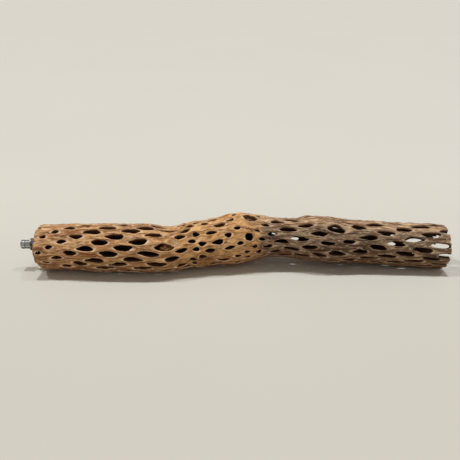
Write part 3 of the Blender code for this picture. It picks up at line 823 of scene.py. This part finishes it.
def bud_wood():
    """Brown bud with small dark spots and thin pale rings."""
    p = Paint("bud_wood", Specular_IOR_Level=0.25)
    spots = p.noise(p.place(), 620.0, 3.0, 0.7)
    rings = p.noise(p.stretched(p.place(), (0.4, 1.0, 1.0)), 500.0, 2.0)
    colour = p.blend(spots.step(0.4, 0.62), tone(58, 28, 12), tone(176, 120, 72))
    colour = p.blend(rings.step(0.6, 0.7) * 0.5, colour, tone(224, 180, 132))
    return p.finish(Base_Color=colour, Roughness=0.6 + spots * 0.2, Normal=p.bump(spots, 0.0008))


def turned_grid(x, radius, centre, turns, pitch=0.0, deep=0.0):
    """A surface turned about a line along X: station n lies at x[n] and has radius[n].

    With a pitch, each radius sinks by deep times a triangle wave that moves one pitch along
    for each turn, which cuts a screw thread.
    """
    w = np.arange(turns)[None, :] * 2 * math.pi / turns
    r = np.asarray(radius, float)[:, None] + 0 * w
    x = np.asarray(x, float)[:, None] + 0 * w
    if pitch:
        wave = np.abs(((x / pitch + w / (2 * math.pi)) % 1.0) * 2 - 1)
        r = r - deep * np.clip(THREAD_SLOPE * wave - THREAD_CREST, 0, 1) * (r > 1.0)
    points = np.stack([x, centre[0] + r * np.sin(w), centre[1] + r * np.cos(w)], -1)
    return points.reshape(-1, 3), grid_faces(len(r), turns)


def rounded(corners, edge, steps=5):
    """A closed profile whose corners are replaced by quarter turns of a given radius."""
    made = []
    pts = np.asarray(corners, float)
    for n in range(len(pts)):
        before = pts[n - 1] - pts[n]
        after = pts[(n + 1) % len(pts)] - pts[n]
        e = min(edge, 0.45 * np.hypot(*before), 0.45 * np.hypot(*after))
        start = pts[n] + before / np.hypot(*before) * e
        end = pts[n] + after / np.hypot(*after) * e
        t = np.linspace(0, 1, steps)[:, None]
        made.append(start * (1 - t) ** 2 + 2 * pts[n] * t * (1 - t) + end * t**2)
    return np.concatenate(made)


def closed_piece(name, points, faces):
    """One mesh from a grid of points, its doubled points merged and its faces outward."""
    piece = write_mesh(name, points, faces)
    with open_mesh(piece) as work:
        bmesh.ops.remove_doubles(work, verts=work.verts, dist=1e-6)
        bmesh.ops.recalc_face_normals(work, faces=work.faces)
        for face in work.faces:
            face.smooth = True
    return piece


def washer_grid(start, end, centre, turns=96):
    """A flat ring with rounded corners: its profile is carried round the line through centre."""
    inner, outer = HOLE_RADIUS, WASHER_RADIUS
    profile = rounded([(start, inner), (start, outer), (end, outer), (end, inner)], WASHER_EDGE)
    points, faces = turned_grid(profile[:, 0], profile[:, 1], centre, turns)
    return points, np.concatenate([faces, closing_faces(len(profile), turns)])


def nut_grid(start, end, axis):
    """Six-sided nut with a flat on top, as one closed surface round its bore.

    Its side is half the width across the flats divided by the cosine of the angle from the
    nearest flat's middle, a little less at the rounded corners, and nowhere more than the cone
    that cuts back the corners at each face.
    """
    w = np.radians(np.concatenate([60.0 * k + NUT_TURNS for k in range(6)]))
    off = (np.degrees(w) + 30.0) % 60.0 - 30.0
    corner = np.exp(-(((30.0 - np.abs(off)) / NUT_CORNER_REACH) ** 2))
    side = 0.5 * NUT_ACROSS / np.cos(np.radians(off)) - NUT_CORNER_CUT * corner
    near = np.array(NUT_CONE)
    far = np.array([((end - start) - x, r) for x, r in NUT_CONE[::-1]])
    bore = np.array([(end - start - NUT_BORE_EDGE, HOLE_RADIUS), (NUT_BORE_EDGE, HOLE_RADIUS)])
    profile = np.concatenate([near, far, bore])
    r = np.minimum(profile[:, 1:2], side[None, :])
    x = start + profile[:, 0:1] + 0 * r
    points = np.stack([x, axis[0] + r * np.sin(w), axis[1] + r * np.cos(w)], -1).reshape(-1, 3)
    faces = [grid_faces(len(profile), len(w)), closing_faces(len(profile), len(w))]
    return points, np.concatenate(faces)


def stud_grid(tip, inside, axis):
    """Threaded rod between its two ends, closed at both and narrowed at the tip."""
    threaded = np.arange(tip + 0.6, inside - 0.4, STUD_STATION)
    x = np.concatenate([[tip, tip, tip + 0.3], threaded, [inside - 0.2, inside, inside]])
    radius = np.concatenate([[0, 1.8, 2.2], 0 * threaded + STUD_RADIUS, [2.4, 2.3, 0]])
    radius = np.minimum(radius, 1.9 + 0.5 * (x - tip))
    return turned_grid(x, radius, axis, STUD_SIDES, STUD_PITCH, STUD_RADIUS - STUD_ROOT)


def fitting():
    """Stud, two washers and two nuts on one line, each the size of its solid."""
    low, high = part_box("outer_washer")
    axis = (0.5 * (low[1] + high[1]) / MM, 0.5 * (low[2] + high[2]) / MM)
    pieces = {}
    for name in ("inner_washer", "outer_washer"):
        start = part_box(name)[0][0] / MM
        grid = washer_grid(start, start + WASHER_THICK, axis)
        pieces[name] = closed_piece(name + "_turned", *grid)
    for name in ("clamp_nut", "lock_nut"):
        low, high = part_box(name)
        grid = nut_grid(low[0] / MM, high[0] / MM, axis)
        pieces[name] = closed_piece(name + "_six_sided", *grid)
    tip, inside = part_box("stud")[0][0] / MM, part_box("stud")[1][0] / MM
    pieces["stud"] = closed_piece("stud_threaded", *stud_grid(tip, inside, axis))
    return pieces


def zinc(name, base, roughness, stretch=(1.0, 1.0, 1.0)):
    """Zinc plate: pale crystal patches, fine scratches and dull dark spots, with painted shade
    darkening its lower side.
    """
    p = Paint(name, Metallic=1.0)
    place = p.place()
    crystals = p.node("ShaderNodeTexVoronoi", {}, Vector=place, Scale=1100.0)
    scratches = p.noise(p.stretched(place, stretch), 3200.0, 3.0, 0.7)
    clouds = p.noise(place, 420.0, 3.0, 0.6)
    spots = p.noise(place, 1500.0, 3.0, 0.6)
    dark = tuple(0.45 * c for c in base[:3]) + (1.0,)
    light = tuple(min(1.0, 1.35 * c) for c in base[:3]) + (1.0,)
    colour = p.blend(clouds.step(0.3, 0.7), base, light)
    colour = p.blend(crystals.step(0.2, 0.7) * 0.25, colour, light)
    colour = p.blend(spots.step(0.58, 0.72) * 0.7, colour, dark)
    colour = p.blend(scratches.step(0.6, 0.75) * 0.4, colour, dark)
    # painted shade: below about the height of the fitting's axis the metal turns nearly black
    painted_shade_below = p.parts(place)[2].step(0.0272, 0.0242) * 0.85
    colour = p.blend(painted_shade_below, colour, tone(34, 32, 30))
    rough = clouds * 0.2 + scratches * 0.15 + roughness
    normal = p.bump(scratches * 0.6 + spots * 0.4, 0.00008, 0.6)
    return p.finish(Base_Color=colour, Roughness=rough, Normal=normal)


def plug_wood():
    """Plug turned across the grain: year rings round an off-centre pith, pores and saw marks."""
    p = Paint("plug_wood_grain", Specular_IOR_Level=0.25)
    place = p.place()
    _, y, z = p.parts(place)
    sway = p.noise(place, 120.0, 2.0)
    off = ((y - PITH[0]) ** 2.0 + (z - PITH[1]) ** 2.0) ** 0.5
    rings = ((off + sway * 0.002) * 5200.0).math("SINE")
    pores = p.noise(p.stretched(place, (0.2, 1.0, 1.0)), 2600.0, 2.0, 0.6)
    marks = p.noise(p.stretched(place, (1.0, 0.08, 1.0)), 900.0, 2.0)
    colour = p.blend(rings * 0.5 + 0.5, tone(150, 108, 66), tone(196, 154, 104))
    colour = p.blend(pores.step(0.56, 0.7) * 0.7, colour, tone(86, 54, 30))
    colour = p.blend(marks.step(0.55, 0.75) * 0.3, colour, tone(112, 78, 48))
    normal = p.bump(rings * 0.15 + pores * 0.5, 0.0003, 0.7)
    return p.finish(Base_Color=colour, Roughness=0.6 + pores * 0.2, Normal=normal)


stage()
wood = skeleton()
wood.data.materials.append(weathered_wood())
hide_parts("cholla_skeleton")
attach(wood, "log")
bud_material = bud_wood()
buds = (("window_bud", BUD_AT, BUD_SIZE), ("scar_bud", SCAR_BUD_AT, SCAR_BUD_SIZE))
for name, at, size in buds:
    bud = dried_bud(name, at, size)
    bud.data.materials.append(bud_material)
    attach(bud, "log")
metals = {
    "stud": zinc("zinc_thread_worn_shaded", (0.3, 0.3, 0.31, 1.0), 0.22, (0.2, 1.0, 1.0)),
    "inner_washer": zinc("zinc_inner_worn_shaded", (0.3, 0.3, 0.31, 1.0), 0.2),
    "outer_washer": zinc("zinc_outer_worn_shaded", (0.3, 0.3, 0.31, 1.0), 0.2),
    "clamp_nut": zinc("zinc_nut_worn_shaded", (0.5, 0.5, 0.51, 1.0), 0.16),
    "lock_nut": zinc("zinc_nut_worn_shaded", (0.5, 0.5, 0.51, 1.0), 0.16),
}
rides_on = {"stud": "log", "inner_washer": "log", "outer_washer": "washer"}
for node, piece in fitting().items():
    piece.data.materials.append(metals[node])
    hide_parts(node)
    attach(piece, rides_on.get(node, "nut"))
plug_material = plug_wood()
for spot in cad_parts["end_plug"].material_slots:
    spot.material = plug_material
